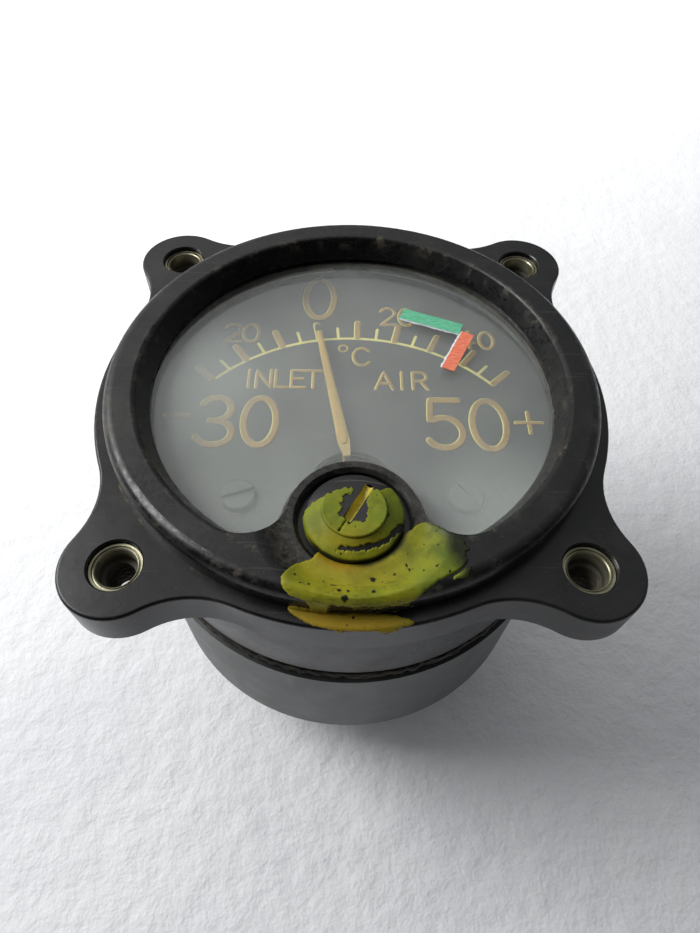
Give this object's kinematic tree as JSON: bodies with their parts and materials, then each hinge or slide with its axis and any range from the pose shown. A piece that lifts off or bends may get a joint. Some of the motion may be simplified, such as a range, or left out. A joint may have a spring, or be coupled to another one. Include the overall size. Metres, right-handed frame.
{
  "type": "carburetor temperature indicator",
  "caption": "Round panel temperature indicator with a square-eared flange, glass over a black dial, pointer, slotted zero screw and a threaded electrical receptacle on the back.",
  "frame": {"origin": "middle of the four mounting holes, on the front face of the ears, which lies against the back of the panel", "axes": "+Z points out of the dial towards the pilot, +Y to the top of the dial, +X to the right of the dial"},
  "size_m": [0.0604, 0.0604, 0.0604],
  "materials": {
    "case_moulding": "semi-gloss, dulled with handling",
    "rear_case": "satin dark grey black",
    "threaded_brass": "aged",
    "window": "clear",
    "gasket_rubber": "matt",
    "spring_steel": "dull",
    "green_mark": "matt",
    "red_mark": "matt",
    "screw_black": "satin black under inspection lacquer",
    "dial_black": "matt black",
    "pointer_paint": "aged luminous paint",
    "brass_parts": "satin",
    "hairspring_bronze": "polished",
    "staff_steel": "polished",
    "former_aluminium": "plain",
    "copper_wire": "lacquered wire",
    "soft_iron": "machined",
    "magnet_steel": "ground",
    "spool_moulding": "matt",
    "case_fastener": "blackened",
    "socket_metal": "dull anodised",
    "contact_metal": "silvered"
  },
  "bodies": {
    "case": {"front_case": "case_moulding", "mount_insert_1": "threaded_brass", "mount_insert_2": "threaded_brass", "mount_insert_3": "threaded_brass", "mount_insert_4": "threaded_brass", "window_glass": "window", "green_range_mark": "green_mark", "red_range_mark": "red_mark", "body_gasket": "gasket_rubber", "rear_shell": "rear_case", "case_screw_1": "case_fastener", "case_screw_2": "case_fastener", "case_screw_3": "case_fastener", "receptacle_shell": "socket_metal", "receptacle_nut": "socket_metal", "receptacle_insert": "spool_moulding", "contact_pin_1": "contact_metal", "contact_pin_2": "contact_metal", "contact_pin_3": "contact_metal", "glass_gasket": "gasket_rubber", "glass_snap_ring": "spring_steel", "zero_screw_washer": "spring_steel", "dial_plate": "dial_black", "dial_screw_left": "dial_black", "dial_screw_right": "dial_black", "dial_post_left": "brass_parts", "dial_post_right": "brass_parts", "upper_bridge": "brass_parts", "lower_bridge": "brass_parts", "upper_jewel_screw": "brass_parts", "lower_jewel_screw": "brass_parts", "lower_hairspring": "hairspring_bronze", "core": "soft_iron", "core_bracket": "brass_parts", "pole_left": "soft_iron", "pole_right": "soft_iron", "magnet": "magnet_steel", "movement_plate": "brass_parts", "plate_pillar_1": "brass_parts", "plate_pillar_2": "brass_parts", "plate_pillar_3": "brass_parts", "plate_spacer_1": "brass_parts", "plate_spacer_2": "brass_parts", "plate_spacer_3": "brass_parts", "resistor_spool_1": "spool_moulding", "resistor_spool_2": "spool_moulding", "resistor_winding_1": "copper_wire", "resistor_winding_2": "copper_wire"},
    "pointer_movement": {"pointer": "pointer_paint", "pointer_hub": "brass_parts", "balance_weight_1": "brass_parts", "balance_weight_2": "brass_parts", "upper_staff": "staff_steel", "lower_staff": "staff_steel", "coil_former": "former_aluminium", "coil_winding": "copper_wire"},
    "zero_adjuster": {"zero_screw": "screw_black", "zero_screw_clip": "spring_steel"},
    "zero_arm_group": {"zero_arm": "brass_parts", "upper_hairspring": "hairspring_bronze"}
  },
  "joints": [
    {"name": "pointer_swing", "type": "hinge", "parent": "case", "child": "pointer_movement", "pos_m": [0, -0.0115, -0.0168], "axis": [0, 0, 1], "range_deg": [-60.5, 39], "stiffness_Nm_per_rad": 0.00002},
    {"name": "zero_screw_turn", "type": "hinge", "parent": "case", "child": "zero_adjuster", "pos_m": [0, -0.019, 0.002], "axis": [0, 0, 1], "range_deg": [-45, 45]},
    {"name": "zero_arm_swing", "type": "hinge", "parent": "case", "child": "zero_arm_group", "pos_m": [0, -0.0115, -0.0077], "axis": [0, 0, 1], "range_deg": [-4.8, 4.8]}
  ],
  "couplings": [
    {"joint": "zero_arm_swing", "follows": "zero_screw_turn", "ratio": 0.103}
  ]
}
